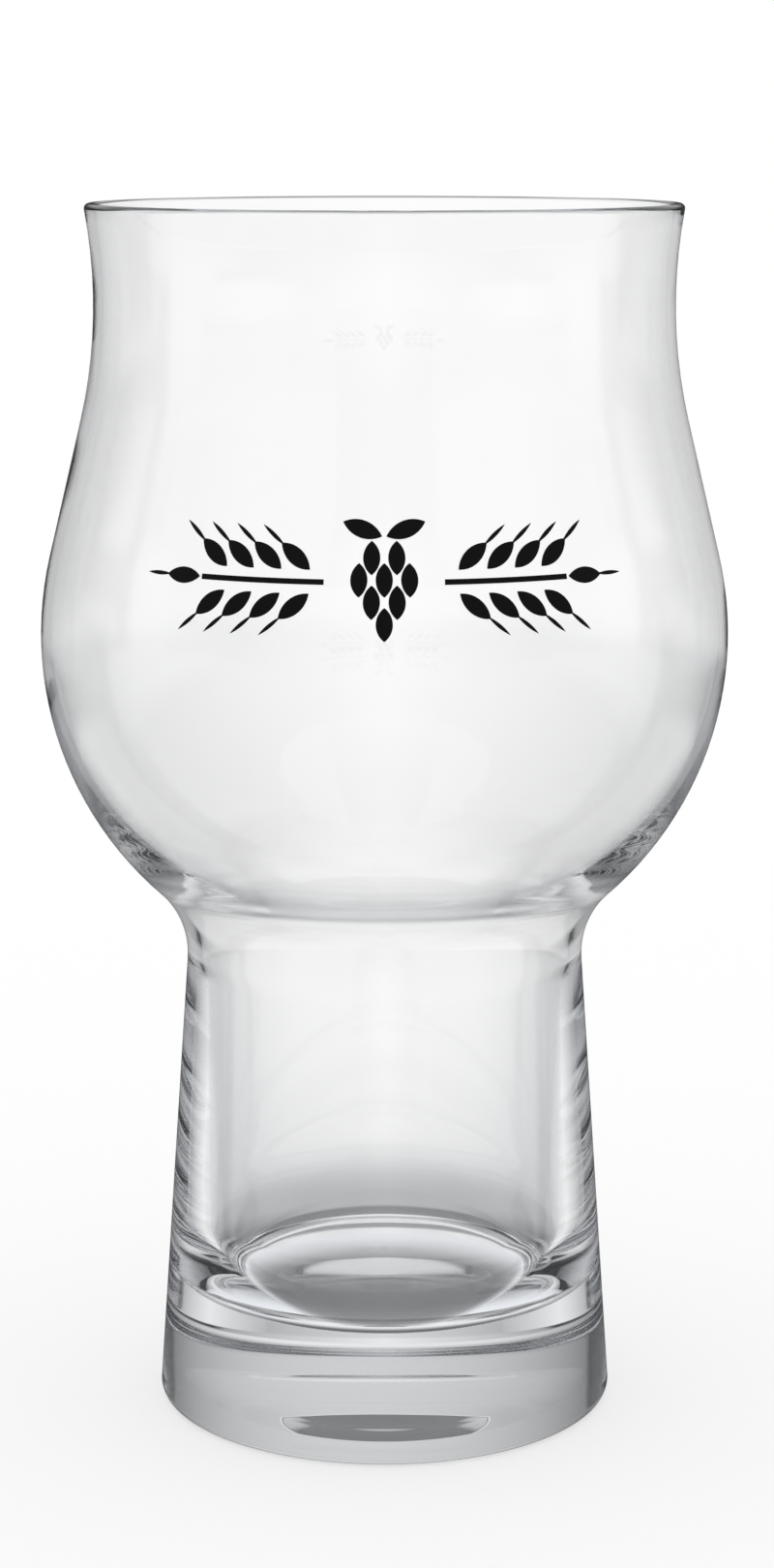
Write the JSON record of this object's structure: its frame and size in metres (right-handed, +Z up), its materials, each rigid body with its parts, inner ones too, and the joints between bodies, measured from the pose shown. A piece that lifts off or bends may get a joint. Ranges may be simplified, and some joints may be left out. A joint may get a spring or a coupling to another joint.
{
  "type": "tulip beer glass",
  "caption": "Clear tulip beer glass with a flared lip, round belly, tapered hollow column and heavy solid base, with a black hop and barley print.",
  "frame": {"origin": "centre of the resting ring, at table level on the glass's axis", "axes": "+Z up along the glass's axis; -Y towards the side of the belly that carries the print; +X to the right seen from there"},
  "size_m": [0.0832, 0.0832, 0.148],
  "materials": {
    "clear_glass": "fire-polished clear soda-lime glass",
    "black_enamel": "fired black glass enamel, semi-gloss"
  },
  "bodies": {
    "root": {"bowl": "clear_glass", "column": "clear_glass", "base": "clear_glass", "hop_print": "black_enamel", "left_ear_print": "black_enamel", "right_ear_print": "black_enamel"}
  },
  "joints": []
}
